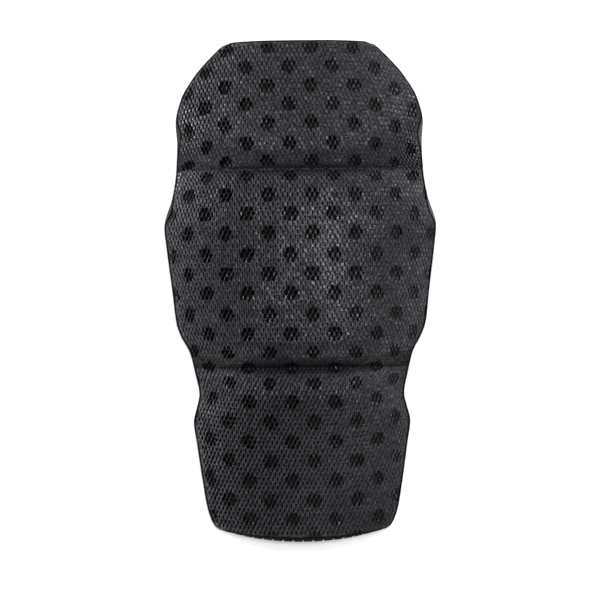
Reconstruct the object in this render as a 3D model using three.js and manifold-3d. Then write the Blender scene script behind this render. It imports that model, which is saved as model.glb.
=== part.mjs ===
// Knee pad insert: a domed pad of perforated foam in three puffed panels, with a knitted net
// bonded over its front and a thin skin behind it. It lies on its side rims with the front up,
// so +Z points out of the front, +Y to the thigh end and the knee goes in from below.
import * as THREE from 'three';
import { mergeVertices } from 'three/addons/utils/BufferGeometryUtils.js';
import Module from 'manifold-3d';

const wasm = await Module();
wasm.setup();

// Driving sizes, in mm
const THIGH_END = 149.4;
const SHIN_END = -149.4;
const RIM_HEIGHT = 5;
const COVER_WALL = 1.0;
const SKIN_WALL = 1.2;
const LAYER_GAP = 0.3;
const COVER_INSET = 0.9;
const REST_LAND = 3.5;
const FRONT_FULLNESS = 3.26;
const BACK_FULLNESS = 3.0;
const STEEPEST_WALL = 1.6;

// The rim seen from the front: half of the width at each place along the length
const OUTLINE = [
  { y: 149.3, half: 38.6 },
  { y: 148.2, half: 43.0 },
  { y: 146.0, half: 47.0 },
  { y: 143.2, half: 49.9 },
  { y: 138.2, half: 54.9 },
  { y: 129.0, half: 62.8 },
  { y: 114.6, half: 71.1 },
  { y: 101.0, half: 74.1 },
  { y: 88.8, half: 73.3 },
  { y: 71.4, half: 74.1 },
  { y: 57.0, half: 76.4 },
  { y: 38.4, half: 81.5 },
  { y: 28.2, half: 80.5 },
  { y: -0.6, half: 76.9 },
  { y: -18.6, half: 74.8 },
  { y: -25.8, half: 72.4 },
  { y: -36.6, half: 66.8 },
  { y: -47.4, half: 64.1 },
  { y: -61.8, half: 61.4 },
  { y: -69.0, half: 62.9 },
  { y: -78.0, half: 64.9 },
  { y: -90.6, half: 63.2 },
  { y: -119.4, half: 59.0 },
  { y: -130.2, half: 57.0 },
  { y: -137.4, half: 54.5 },
  { y: -140.9, half: 52.2 },
  { y: -142.6, half: 49.2 },
  { y: -143.6, half: 46.8 },
];

// Heights on the centre line: the front over the rim, without its creases, and the back
const CENTRE_LINE = [
  { y: 150, front: 10.1, back: 10.0 },
  { y: 115, front: 18.4, back: 14.0 },
  { y: 72, front: 26.9, back: 18.5 },
  { y: 15, front: 27.1, back: 19.0 },
  { y: -45, front: 25.6, back: 15.5 },
  { y: -95, front: 18.5, back: 13.0 },
  { y: -150, front: 9.2, back: 9.5 },
];

// The two creases: how much of the front height each takes away on the centre line, and how
// far its two flanks reach towards the thigh and towards the shin
const CREASES = [
  { y: 72, share: 0.32, thighFlank: 18.1, shinFlank: 14.4 },
  { y: -45.6, share: 0.41, thighFlank: 16.4, shinFlank: 19.9 },
];
const CREASE_SHARE_AT_RIM = 0.74;
const CREASE_FAN = 1.0;
const CREASE_SHARPNESS = 2.2;

// The two ends: how far the rim of the end lies from its middle, and where the bow starts
const THIGH_BOW = { from: 120, depth: -0.1 };
const SHIN_BOW = { from: -105, depth: 5.8 };

// Vent holes, on a staggered grid that is measured along the surface
const HOLE_RADIUS = 4.35;
const HOLE_ROW_PITCH = 11.82;
const HOLE_COLUMN_PITCH = 25.7;
const HOLE_GRID_Y = 10.0;
const HOLE_GRID_X = 7.05;
const HOLE_ROWS = 13;
const HOLE_COLUMNS = 4;
const HOLE_TO_RIM = 6.5;
const HOLE_CUT_LENGTH = 240;
const HOLE_LEAN = 0.5;

// The back skin shows past the foam: a thin rim, slivers where the corners of the upper crease
// pinch the foam in, and a notched shin band
const SKIN_RIM = 0.4;
const PINCHES = [
  { y: 94, depth: 2.3, halfLength: 10 },
  { y: 48, depth: 1.8, halfLength: 10 },
];
const SHIN_BAND = 2.0;
const NOTCH_PITCH = 5.9;
const NOTCH_WIDTH = 0.8;
const NOTCH_DEPTH = 1.0;
const NOTCHES_EACH_SIDE = 7;

// Facets: places of the columns between the middle and the rim, and the longest row steps
const FRONT_COLUMNS = [0.22, 0.44, 0.64, 0.8, 0.92];
const BACK_COLUMNS = [0.3, 0.58, 0.8];
const FRONT_ROW_STEP = 11;
const BACK_ROW_STEP = 20;
const RIM_ROWS = [147, 143.4, 136, 103, 94, 48, 38.4, -18.6, -62, -78, -128, -138, -145];
const CLOSEST_ROWS = 2.5;
const CUT_ROOM = 4;
const CUT_DEPTH = 30;

// A smooth line through the rows of a table that never swings past them
function tableLine(rows, column) {
  const sorted = [...rows].sort((a, b) => a.y - b.y);
  const ys = sorted.map((row) => row.y);
  const values = sorted.map((row) => row[column]);
  const last = ys.length - 1;
  const steps = ys.slice(1).map((y, i) => (values[i + 1] - values[i]) / (y - ys[i]));
  const slopes = values.map((value, i) => {
    if (i === 0) {
      return steps[0];
    }
    if (i === last) {
      return steps[last - 1];
    }
    const before = steps[i - 1];
    const after = steps[i];
    if (before * after <= 0) {
      return 0;
    }
    return (2 * before * after) / (before + after);
  });
  return (y) => {
    const place = Math.min(Math.max(y, ys[0]), ys[last]);
    let i = 0;
    while (i < last - 1 && place > ys[i + 1]) {
      i += 1;
    }
    const span = ys[i + 1] - ys[i];
    const u = (place - ys[i]) / span;
    const start = values[i] * (1 + 2 * u) * (1 - u) ** 2;
    const end = values[i + 1] * (3 - 2 * u) * u ** 2;
    const leave = slopes[i] * span * u * (1 - u) ** 2;
    const arrive = slopes[i + 1] * span * u ** 2 * (u - 1);
    return start + end + leave + arrive;
  };
}

const halfWidth = tableLine(OUTLINE, 'half');
const frontLine = tableLine(CENTRE_LINE, 'front');
const backLine = tableLine(CENTRE_LINE, 'back');

// How far the rim of a row lies from its middle, along the length
function bow(row) {
  if (row > THIGH_BOW.from) {
    return THIGH_BOW.depth * ((row - THIGH_BOW.from) / (THIGH_END - THIGH_BOW.from)) ** 2;
  }
  if (row < SHIN_BOW.from) {
    return SHIN_BOW.depth * ((row - SHIN_BOW.from) / (SHIN_END - SHIN_BOW.from)) ** 2;
  }
  return 0;
}

// Half of the width of a row at its rim
function rowHalf(row) {
  return halfWidth(row + bow(row));
}

// What is left of the front height beside the creases, 1 where no crease reaches
function creaseFactor(across, row) {
  let left = 1;
  for (const crease of CREASES) {
    const fan = 1 + CREASE_FAN * Math.abs(across) ** 3;
    const flank = row > crease.y ? crease.thighFlank : crease.shinFlank;
    const reach = Math.abs(row - crease.y) / (flank * fan);
    const share = crease.share + (CREASE_SHARE_AT_RIM - crease.share) * across ** 4;
    left *= 1 - share * Math.max(0, 1 - reach) ** CREASE_SHARPNESS;
  }
  return left;
}

// Height of the front: across runs from -1 at one side rim to 1 at the other
function frontHeight(across, row) {
  const dome = 1 - Math.min(1, Math.abs(across)) ** FRONT_FULLNESS;
  return RIM_HEIGHT + frontLine(row) * dome * creaseFactor(across, row);
}

// Where the flat land along the side rims starts
function landEdge(row) {
  return 1 - REST_LAND / rowHalf(row);
}

// Height of the back, with a flat land along both side rims
function backHeight(across, row) {
  const place = Math.min(1, Math.abs(across) / landEdge(row));
  return backLine(row) * (1 - place ** BACK_FULLNESS);
}

// How much longer a wall is measured straight up than through the sloping surface
function slopeFactor(height, across, row) {
  const step = 0.5;
  const side = step / rowHalf(row);
  const slopeX = (height(across + side, row) - height(across - side, row)) / (2 * step);
  const slopeY = (height(across, row + step) - height(across, row - step)) / (2 * step);
  return Math.min(STEEPEST_WALL, Math.hypot(1, slopeX, slopeY));
}

// A place on the plan
function planPoint(across, row) {
  const x = across * rowHalf(row);
  const y = row + bow(row) * across ** 2;
  return [x, y];
}

// Rows between the two end rows: at the turns of the rim, on the flanks of the creases where
// they matter, and in even steps between those
function innerRows(step, withCreases) {
  const stops = [...RIM_ROWS];
  if (withCreases) {
    for (const crease of CREASES) {
      stops.push(crease.y + 0.7 * crease.thighFlank, crease.y + 0.3 * crease.thighFlank);
      stops.push(crease.y);
      stops.push(crease.y - 0.3 * crease.shinFlank, crease.y - 0.7 * crease.shinFlank);
    }
  }
  stops.sort((a, b) => b - a);
  const rows = [stops[0]];
  let from = stops[0];
  for (const stop of stops) {
    const span = from - stop;
    if (span < CLOSEST_ROWS) {
      continue;
    }
    const parts = Math.max(1, Math.round(span / step));
    for (let k = 1; k <= parts; k += 1) {
      rows.push(from - (span * k) / parts);
    }
    from = stop;
  }
  return rows;
}

// Columns between the middle and the rim, for the front and for the back with its resting land
function frontColumns() {
  return FRONT_COLUMNS;
}

function backColumns(row) {
  return [...BACK_COLUMNS, landEdge(row)];
}

// A closed sheet between two heights over the same plan, grown past the rim or kept inside it
function sheet(rows, columnsOf, grow, topAt, bottomAt) {
  const wide = 2 * columnsOf(rows[0]).length + 3;
  const positions = [];
  const faces = [];
  for (const heightAt of [topAt, bottomAt]) {
    for (const row of rows) {
      const half = [...columnsOf(row), 1 + grow(row) / rowHalf(row)];
      const places = [...half.map((place) => -place).reverse(), 0, ...half];
      for (const across of places) {
        const [x, y] = planPoint(across, row);
        positions.push(x, y, heightAt(across, row));
      }
    }
  }
  const under = rows.length * wide;
  for (let j = 0; j + 1 < rows.length; j += 1) {
    for (let i = 0; i + 1 < wide; i += 1) {
      const a = j * wide + i;
      const b = a + 1;
      const c = a + wide;
      const d = c + 1;
      const left = i < (wide - 1) / 2;
      const top = left ? [a, c, b, b, c, d] : [a, c, d, a, d, b];
      for (let k = 0; k < 6; k += 3) {
        faces.push(top[k], top[k + 1], top[k + 2]);
        faces.push(under + top[k], under + top[k + 2], under + top[k + 1]);
      }
    }
  }
  const ring = [];
  for (let i = 0; i + 1 < wide; i += 1) {
    ring.push(i);
  }
  for (let j = 0; j + 1 < rows.length; j += 1) {
    ring.push(j * wide + wide - 1);
  }
  for (let i = wide - 1; i > 0; i -= 1) {
    ring.push((rows.length - 1) * wide + i);
  }
  for (let j = rows.length - 1; j > 0; j -= 1) {
    ring.push(j * wide);
  }
  ring.forEach((here, n) => {
    const next = ring[(n + 1) % ring.length];
    faces.push(here, next, under + here);
    faces.push(next, under + next, under + here);
  });
  const geometry = new THREE.BufferGeometry();
  geometry.setAttribute('position', new THREE.Float32BufferAttribute(positions, 3));
  geometry.setIndex(faces);
  return geometry;
}

// Between closed meshes and solids that can be cut
function toSolid(geometry) {
  const plain = geometry.clone();
  plain.deleteAttribute('normal');
  plain.deleteAttribute('uv');
  const joined = mergeVertices(plain, 1e-4);
  const vertProperties = new Float32Array(joined.attributes.position.array);
  const triVerts = new Uint32Array(joined.index.array);
  return new wasm.Manifold(new wasm.Mesh({ numProp: 3, vertProperties, triVerts }));
}

function fromSolid(solid) {
  const mesh = solid.getMesh();
  const geometry = new THREE.BufferGeometry();
  geometry.setAttribute('position', new THREE.Float32BufferAttribute(mesh.vertProperties, 3));
  geometry.setIndex(Array.from(mesh.triVerts));
  return geometry;
}

// Heights of the faces of the three layers, from the front to the back
function coverTop(across, row) {
  return frontHeight(across, row);
}

function coverUnder(across, row) {
  return frontHeight(across, row) - COVER_WALL * slopeFactor(frontHeight, across, row);
}

function foamTop(across, row) {
  const lower = COVER_WALL + LAYER_GAP;
  return frontHeight(across, row) - lower * slopeFactor(frontHeight, across, row);
}

function foamUnder(across, row) {
  const higher = SKIN_WALL + LAYER_GAP;
  return backHeight(across, row) + higher * slopeFactor(backHeight, across, row);
}

function skinTop(across, row) {
  return backHeight(across, row) + SKIN_WALL * slopeFactor(backHeight, across, row);
}

function skinUnder(across, row) {
  return backHeight(across, row);
}

// Lean of the pad along its length, without the creases
function lean(row) {
  return (frontLine(row + 1) - frontLine(row - 1)) / 2;
}

// Row that lies a given way along the centre line of the front from the start of the hole grid
function rowAlong(way) {
  const step = way > 0 ? 0.25 : -0.25;
  let row = HOLE_GRID_Y;
  let gone = 0;
  while (gone < Math.abs(way) && Math.abs(row) < THIGH_END + 15) {
    const rise = frontHeight(0, row + step) - frontHeight(0, row);
    gone += Math.hypot(step, rise);
    row += step;
  }
  return row;
}

// Place that lies a given way across the front from the centre line, on a row of the hole grid
function placeAcross(startRow, way) {
  const step = way > 0 ? 0.004 : -0.004;
  const middle = frontHeight(0, startRow);
  let across = 0;
  let row = startRow;
  let gone = 0;
  let [x, y] = planPoint(0, startRow);
  let z = middle;
  while (gone < Math.abs(way) && Math.abs(across) < 1) {
    across += step;
    const drop = middle - frontHeight(across, row);
    row = startRow + lean(startRow) * drop - bow(startRow) * across ** 2;
    const [nextX, nextY] = planPoint(across, row);
    const nextZ = frontHeight(across, row);
    gone += Math.hypot(nextX - x, nextY - y, nextZ - z);
    [x, y, z] = [nextX, nextY, nextZ];
  }
  return { across, row, x, y, z };
}

// A long cutter along Z with two square ends turned against each other, so that halfway along
// it has eight equal sides and one triangle for each
function eightSidedCutter() {
  const corner = HOLE_RADIUS / Math.cos(Math.PI / 8);
  const positions = [];
  for (const end of [1, -1]) {
    for (let k = 0; k < 4; k += 1) {
      const angle = (k * Math.PI) / 2 + (end < 0 ? Math.PI / 4 : 0);
      positions.push(corner * Math.cos(angle), corner * Math.sin(angle), (end * HOLE_CUT_LENGTH) / 2);
    }
  }
  const faces = [0, 1, 2, 0, 2, 3, 4, 6, 5, 4, 7, 6];
  for (let k = 0; k < 4; k += 1) {
    const next = (k + 1) % 4;
    faces.push(k, 4 + k, next, next, 4 + k, 4 + next);
  }
  const cutter = new THREE.BufferGeometry();
  cutter.setAttribute('position', new THREE.Float32BufferAttribute(positions, 3));
  cutter.setIndex(faces);
  return cutter;
}

// Straight cutters through the foam, each leaning part of the way to the front's own slope
function ventCutters() {
  const cutters = [];
  for (let n = -HOLE_ROWS; n <= HOLE_ROWS; n += 1) {
    const startRow = rowAlong(n * HOLE_ROW_PITCH);
    const shift = n % 2 === 0 ? 0 : HOLE_COLUMN_PITCH / 2;
    for (let k = -HOLE_COLUMNS; k <= HOLE_COLUMNS; k += 1) {
      const place = placeAcross(startRow, HOLE_GRID_X - shift + k * HOLE_COLUMN_PITCH);
      const half = rowHalf(place.row);
      const sideRoom = half * (1 - Math.abs(place.across));
      const endRoom = Math.min(THIGH_END - place.row, place.row - SHIN_END - SHIN_BAND);
      if (Math.min(sideRoom, endRoom) < HOLE_TO_RIM) {
        continue;
      }
      const side = 1 / half;
      const { across, row } = place;
      const dx = (frontHeight(across + side, row) - frontHeight(across - side, row)) / 2;
      const dy = (frontHeight(across, row + 1) - frontHeight(across, row - 1)) / 2;
      const out = new THREE.Vector3(-HOLE_LEAN * dx, -HOLE_LEAN * dy, 1).normalize();
      const turn = new THREE.Quaternion().setFromUnitVectors(new THREE.Vector3(0, 0, 1), out);
      const cutter = eightSidedCutter();
      cutter.applyQuaternion(turn);
      cutter.translate(place.x, place.y, place.z);
      cutters.push(cutter);
    }
  }
  return cutters;
}

// Small cuts along the shin edge of the skin
function notchCutters() {
  const cutters = [];
  for (let n = -NOTCHES_EACH_SIDE; n <= NOTCHES_EACH_SIDE; n += 1) {
    const x = n * NOTCH_PITCH;
    const across = x / rowHalf(SHIN_END);
    const y = SHIN_END + bow(SHIN_END) * across ** 2;
    const cutter = new THREE.BoxGeometry(NOTCH_WIDTH, 2 * NOTCH_DEPTH, 12);
    cutter.translate(x, y, skinUnder(across, SHIN_END));
    cutters.push(cutter);
  }
  return cutters;
}

// How far the skin reaches past the side rims of the foam
function foamInset(row) {
  let inset = SKIN_RIM;
  for (const pinch of PINCHES) {
    const away = Math.abs(row - pinch.y) / pinch.halfLength;
    inset += pinch.depth * Math.max(0, 1 - away);
  }
  return inset;
}

// The rows of each layer: the same ones inside, so that the layers run parallel, and its own ends
const frontRows = innerRows(FRONT_ROW_STEP, true);
const backRows = innerRows(BACK_ROW_STEP, false);
const foamRows = [THIGH_END - SKIN_RIM, ...frontRows, SHIN_END + SHIN_BAND];
const coverRows = [foamRows[0] - COVER_INSET, ...frontRows, SHIN_END + SHIN_BAND + COVER_INSET];
const skinRows = [THIGH_END, ...backRows, SHIN_END];
const hollowRows = [THIGH_END + CUT_ROOM, ...backRows, SHIN_END - CUT_ROOM];

const coverGrow = (row) => -foamInset(row) - COVER_INSET;
const coverGeometry = sheet(coverRows, frontColumns, coverGrow, coverTop, coverUnder);

const foamGrow = (row) => -foamInset(row);
const block = sheet(foamRows, frontColumns, foamGrow, foamTop, () => -CUT_DEPTH);
const hollow = sheet(hollowRows, backColumns, () => CUT_ROOM, foamUnder, () => -2 * CUT_DEPTH);
let foam = toSolid(block).subtract(toSolid(hollow));
for (const cutter of ventCutters()) {
  foam = foam.subtract(toSolid(cutter));
}

let skin = toSolid(sheet(skinRows, backColumns, () => 0, skinTop, skinUnder));
for (const cutter of notchCutters()) {
  skin = skin.subtract(toSolid(cutter));
}

const pieces = [
  { name: 'foam_core', geometry: fromSolid(foam), color: 0x2b2b2d, roughness: 0.95 },
  { name: 'mesh_cover', geometry: coverGeometry, color: 0x5d5d66, roughness: 0.85 },
  { name: 'back_skin', geometry: fromSolid(skin), color: 0x232325, roughness: 0.9 },
];

const pad = new THREE.Group();
pad.name = 'knee_pad_insert';
for (const piece of pieces) {
  const geometry = piece.geometry.toNonIndexed();
  geometry.computeVertexNormals();
  const material = new THREE.MeshStandardMaterial({
    color: piece.color,
    roughness: piece.roughness,
    metalness: 0,
  });
  const mesh = new THREE.Mesh(geometry, material);
  mesh.name = piece.name;
  pad.add(mesh);
}

export default pad;
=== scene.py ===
import math

import bmesh
import bpy
import numpy as np
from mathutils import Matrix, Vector
from mathutils.geometry import delaunay_2d_cdt


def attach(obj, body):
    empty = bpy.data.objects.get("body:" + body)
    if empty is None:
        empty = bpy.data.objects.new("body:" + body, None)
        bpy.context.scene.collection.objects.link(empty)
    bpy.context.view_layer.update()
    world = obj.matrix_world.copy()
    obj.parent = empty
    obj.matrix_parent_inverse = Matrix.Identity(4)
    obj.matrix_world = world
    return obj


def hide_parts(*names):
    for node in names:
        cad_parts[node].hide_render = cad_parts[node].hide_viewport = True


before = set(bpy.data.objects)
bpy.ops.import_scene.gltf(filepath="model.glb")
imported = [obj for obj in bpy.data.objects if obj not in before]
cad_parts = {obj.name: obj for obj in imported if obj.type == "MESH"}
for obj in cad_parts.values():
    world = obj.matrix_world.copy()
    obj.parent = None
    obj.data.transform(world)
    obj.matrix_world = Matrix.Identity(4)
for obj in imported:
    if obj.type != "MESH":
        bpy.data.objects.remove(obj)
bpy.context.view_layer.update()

# Sizes in mm, the same ones that the solids are made from
MM = 0.001
THIGH_END = 149.4
SHIN_END = -149.4
RIM_HEIGHT = 5.0
SKIN_WALL = 1.2
FOAM_UNDER_FRONT = 1.3
FOAM_OVER_BACK = 1.5
REST_LAND = 3.5
FRONT_FULLNESS = 3.26
BACK_FULLNESS = 3.0
STEEPEST_WALL = 1.6

# Steps for measuring slopes and directions on the surfaces
SLOPE_STEP = 0.5
NORMAL_STEP = 0.4

# The map of the front surface: how far its rows and ways reach, their step, how far past the rim it
# goes in shares of the half width, its places across, and the rounds that settle its rows
MAP_ROWS_REACH = 172.0
MAP_WAYS_REACH = 112.0
MAP_STEP = 0.5
MAP_PAST_RIM = 1.2
MAP_PLACES = 481
MAP_ROUNDS = 4

# The flat plan that faces are laid out in: half of its width, points along the rims and the ends,
# the distance between points inside, the share of it between their rows, and how near points are
# merged, in the plan in mm and in a mesh in metres
FLAT_SCALE = 70.0
FOAM_RIM_POINTS = 150
SKIN_RIM_POINTS = 160
END_POINTS = 60
FOAM_SPACING = 4.2
SKIN_SPACING = 5.0
SPACING_OF_ROWS = 0.87
MERGE_IN_PLAN = 1e-5
MERGE_IN_MESH = 0.00001

# The rim seen from the front: place along the length, half of the width
OUTLINE = [
    (149.3, 38.6),
    (148.2, 43.0),
    (146.0, 47.0),
    (143.2, 49.9),
    (138.2, 54.9),
    (129.0, 62.8),
    (114.6, 71.1),
    (101.0, 74.1),
    (88.8, 73.3),
    (71.4, 74.1),
    (57.0, 76.4),
    (38.4, 81.5),
    (28.2, 80.5),
    (-0.6, 76.9),
    (-18.6, 74.8),
    (-25.8, 72.4),
    (-36.6, 66.8),
    (-47.4, 64.1),
    (-61.8, 61.4),
    (-69.0, 62.9),
    (-78.0, 64.9),
    (-90.6, 63.2),
    (-119.4, 59.0),
    (-130.2, 57.0),
    (-137.4, 54.5),
    (-140.9, 52.2),
    (-142.6, 49.2),
    (-143.6, 46.8),
]

# The centre line: place along the length, height of the front over the rim, height of the back
CENTRE_LINE = [
    (150.0, 10.1, 10.0),
    (115.0, 18.4, 14.0),
    (72.0, 26.9, 18.5),
    (15.0, 27.1, 19.0),
    (-45.0, 25.6, 15.5),
    (-95.0, 18.5, 13.0),
    (-150.0, 9.2, 9.5),
]

# The creases: place, share of the front height taken away, reach to the thigh and to the shin
CREASES = [
    (72.0, 0.32, 18.1, 14.4),
    (-45.6, 0.41, 16.4, 19.9),
]
CREASE_SHARE_AT_RIM = 0.74
CREASE_RIM_POWER = 4
CREASE_FAN = 1.0
CREASE_FAN_POWER = 3
CREASE_SHARPNESS = 2.2

# Where the ends start to bow, and how far their rims lie from their middle
THIGH_BOW = (120.0, -0.1)
SHIN_BOW = (-105.0, 5.8)

# Vent holes, the foam left between them and the rim, the smallest cut one that is made, and how far
# from a hole's centre faces inside it are looked for
HOLE_RADIUS = 4.35
HOLE_ROW_PITCH = 11.82
HOLE_COLUMN_PITCH = 25.7
HOLE_GRID_Y = 10.0
HOLE_GRID_X = 7.05
HOLE_ROWS = 14
HOLE_COLUMNS = 4
HOLE_SIDES = 22
LEAN_ROOM = 12.0
RIM_WALL = 1.0
SMALLEST_HOLE = 1.5
HOLE_SEARCH = 9.0

# What shows past the net: the foam's rim and the skin's rim, slivers where the corners of the upper
# crease pinch the foam in (place, depth, half length) and the skin is painted pale as painted light
# from a share of the half width on, less on the left, and the shin band with its notches (across and
# deep, in shares)
COVER_INSET = 0.9
FOAM_LIP = 0.15
SKIN_RIM = 0.4
PINCHES = [(94.0, 2.3, 10.0), (48.0, 1.8, 10.0)]
PALE_FROM = 0.86
PALE_FADE = 0.06
PALE_ON_LEFT = 0.3
SHIN_BAND = 2.0
NOTCH_PITCH = 5.9
NOTCH_WIDTH = 0.8
NOTCH_DEPTH = 1.0
NOTCHES_EACH_SIDE = 7
NOTCH_PROFILE = [(-0.75, 0.0), (-0.5, 0.55), (0.0, 1.0), (0.5, 0.55), (0.75, 0.0)]
NOTCH_GAP_POINTS = (0.35, 0.5, 0.65)

# The net: distances between openings before it is stretched, how far their grid reaches, half of an
# opening's width and height where the net is bonded to the foam and where it hangs over a hole,
# how much wider and deeper they are on the left than in the middle, and how uneven they are
NET_COLUMN_PITCH = 2.70
NET_ROW_PITCH = 2.74
NET_REACH_ACROSS = 105.0
NET_REACH_ALONG = 175.0
SLIT_ON_FOAM = (0.17, 1.45)
SLIT_OVER_HOLE = (0.72, 1.60)
SLIT_WIDEST = 1.0
SLIT_WIDER_LEFT = 0.50
SLIT_CHANGE_REACH = 40.0
SLIT_JITTER = 0.14
SLIT_PLACE_JITTER = 0.06
NET_JITTER = 0.08

# How far past a hole's rim an opening starts to count as over the hole, how far inside it the joins
# of yarn do in full, the closed edge of the net and how soon it opens, the least open cell with an
# opening, and how finely the corners of cells are told apart (per mm)
OVER_HOLE_MARGIN = 0.5
JOIN_FADE = 0.8
CLOSED_EDGE = 0.35
OPEN_FADE = 1.4
LEAST_OPEN = 0.2
CORNERS_PER_MM = 50

# The yarns between them are beads: how far their joins, their shoulders beside a bead and beside a
# join, and the rims of the openings lie under the beads' tops, the range that wider and narrower
# openings give those rims, the shoulders' share of the way to them, the drop where the yarn's colour
# is painted darkest as shade, and how far the net dips over a hole
JOIN_ON_FOAM = 0.17
JOIN_OVER_HOLE = 0.30
SHOULDER_DROP = (0.12, 0.24)
NET_EDGE_DROP = 0.74
NET_EDGE_RANGE = (0.4, 1.5)
NET_RIDGE = 0.55
DARKEST_DROP = 0.85
NET_DIP = 0.45

# Left of the knee's middle the beads part into two strands: how deep the line between those is, how
# far the openings close, how far the yarn's colour is darkened there as painted shade, the share of
# the line on the shin, and the middle (across, along) and reach of it all on the knee
TWIN_DROP = 0.60
TWIN_CLOSES = 0.45
TWIN_SHADE = 0.28
TWIN_ON_SHIN = 0.6
TWIN_AT = (-25.0, 0.0)
TWIN_REACH = (58.0, 68.0)

# Where the net is strained open by the rims (share of the half width, place along, their reaches),
# how much wider and glossier it is there, and how far that clears its painted shade
STRAINED = [(0.92, 82.0, 0.10, 13.0), (-0.89, 96.0, 0.12, 11.0), (-0.95, -86.0, 0.12, 20.0)]
STRAIN_OPENS = 2.0
STRAIN_GLOSS = 1.6
STRAIN_CLEARS = 0.85

# Where the left flank, from a share of the half width on, opens the net a little, and how far the
# creases close it, in full where they take away this share of the front's height, the share of that
# closing on their flanks to the shin, and how far creases and gussets darken its colour as painted
# shade
FLANK_FROM = 0.74
FLANK_FADE = 0.14
FLANK_OPENS = 0.7
CREASED_IN_FULL = 0.30
CREASE_CLOSES = 0.75
SHIN_FLANK_CLOSES = 0.2
CREASE_SHADE = 0.05
GUSSET_SHADE = 0.8
GUSSET_CLOSES_POWER = 4
GUSSET_SHADE_POWER = 3

# On the thigh the net is closed and its colour darkened a little as painted shade: from where along,
# how soon, and how much
THIGH_FROM = 66.0
THIGH_FADE = 12.0
THIGH_CLOSES = 0.38
THIGH_SHADE = 0.34

# Gloss of single beads: how rare it is, how common glints over holes are, and where more beads
# shine, which is where the net is strained, on the left flank, along a band where it is drawn
# tight (place along, place across), and at the thigh's right rim (as for the strained places)
GLOSS_RARITY = 2.2
GLOSS_RARITY_SHEEN = 0.5
SHOULDER_GLOSS = 0.5
GLINTS_OVER_HOLES = 0.34
GLINTS_FEWER_RIGHT = 0.6
GLINT_STRENGTH = 1.6
SHEEN_BAND = [(-130.0, 46.0), (-75.0, 30.0), (-35.0, 22.0), (65.0, 14.0), (110.0, 6.0)]
SHEEN_BAND_WIDTH = 6.5
SHEEN_MIDDLE = -25.0
SHEEN_REACH = 90.0
GLOSSY_RIM = [(0.84, 106.0, 0.16, 20.0)]

# The net is stretched most over the knee: extra width, how far that reaches across and along,
# and where along it is
STRETCH = 3.2
STRETCH_ACROSS = 36.0
STRETCH_ALONG = 60.0
STRETCH_AT = 25.0

# How far the openings lean over: on the knee and thigh, on the shin, and over holes on the left,
# where the shin starts, and where those holes on the left end (across, along)
LEAN_KNEE = -0.12
LEAN_SHIN = 0.26
LEAN_LEFT_HOLES = 0.30
LEAN_TURN = -52.0
LEAN_TURN_FADE = 12.0
LEAN_LEFT_TO = 15.0
LEAN_LEFT_FADE = 40.0
LEAN_LEFT_BELOW = 70.0
LEAN_LEFT_BELOW_FADE = 20.0

# Where the net's colour is darkened as painted shade, in the bottoms of the creases and on their
# flanks: place along, how much, and how far that reaches
PAINTED_CREASE_SHADE = [
    (72.0, 0.55, 1.2),
    (73.0, 0.18, 5.0),
    (62.0, 0.50, 8.0),
    (53.0, 0.36, 10.0),
    (-45.6, 0.85, 1.3),
    (-44.6, 0.55, 3.6),
    (-40.5, 0.50, 4.5),
    (-58.0, 0.38, 11.0),
]

SEED = 41
rng = np.random.default_rng(SEED)


def table_line(rows, column):
    """A smooth line through a table that never swings past its rows."""
    data = sorted((row[0], row[column]) for row in rows)
    ys = np.array([d[0] for d in data])
    values = np.array([d[1] for d in data])
    steps = np.diff(values) / np.diff(ys)
    slopes = np.zeros(len(ys))
    slopes[0], slopes[-1] = steps[0], steps[-1]
    for i in range(1, len(ys) - 1):
        if steps[i - 1] * steps[i] > 0:
            slopes[i] = 2 * steps[i - 1] * steps[i] / (steps[i - 1] + steps[i])

    def line(y):
        place = np.clip(y, ys[0], ys[-1])
        i = np.clip(np.searchsorted(ys, place, side="right") - 1, 0, len(ys) - 2)
        span = ys[i + 1] - ys[i]
        u = (place - ys[i]) / span
        start = values[i] * (1 + 2 * u) * (1 - u) ** 2
        end = values[i + 1] * (3 - 2 * u) * u**2
        leave = slopes[i] * span * u * (1 - u) ** 2
        arrive = slopes[i + 1] * span * u**2 * (u - 1)
        return start + end + leave + arrive

    return line


half_width = table_line(OUTLINE, 1)
front_line = table_line(CENTRE_LINE, 1)
back_line = table_line(CENTRE_LINE, 2)


def bow(row):
    thigh = THIGH_BOW[1] * (np.maximum(row - THIGH_BOW[0], 0) / (THIGH_END - THIGH_BOW[0])) ** 2
    shin = SHIN_BOW[1] * (np.minimum(row - SHIN_BOW[0], 0) / (SHIN_END - SHIN_BOW[0])) ** 2
    return thigh + shin


def row_half(row):
    return half_width(row + bow(row))


def crease_factor(across, row):
    left = np.ones(np.broadcast(across, row).shape)
    for y, share_here, thigh_flank, shin_flank in CREASES:
        fan = 1 + CREASE_FAN * np.abs(across) ** CREASE_FAN_POWER
        flank = np.where(row > y, thigh_flank, shin_flank)
        reach = np.abs(row - y) / (flank * fan)
        share = share_here + (CREASE_SHARE_AT_RIM - share_here) * across**CREASE_RIM_POWER
        left = left * (1 - share * np.maximum(0, 1 - reach) ** CREASE_SHARPNESS)
    return left


def dome_height(across, row):
    """How far the front stands over the rim, without its creases."""
    return front_line(row) * (1 - np.minimum(1, np.abs(across)) ** FRONT_FULLNESS)


def front_height(across, row):
    t = np.minimum(1, np.abs(across))
    return RIM_HEIGHT + dome_height(t, row) * crease_factor(t, row)


def back_height(across, row):
    land = 1 - REST_LAND / row_half(row)
    place = np.minimum(1, np.abs(across) / land)
    return back_line(row) * (1 - place**BACK_FULLNESS)


def slope_factor(height, across, row):
    step = SLOPE_STEP
    side = step / row_half(row)
    slope_x = (height(across + side, row) - height(across - side, row)) / (2 * step)
    slope_y = (height(across, row + step) - height(across, row - step)) / (2 * step)
    return np.minimum(STEEPEST_WALL, np.sqrt(1 + slope_x**2 + slope_y**2))


def plan(across, row):
    return across * row_half(row), row + bow(row) * across**2


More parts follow.
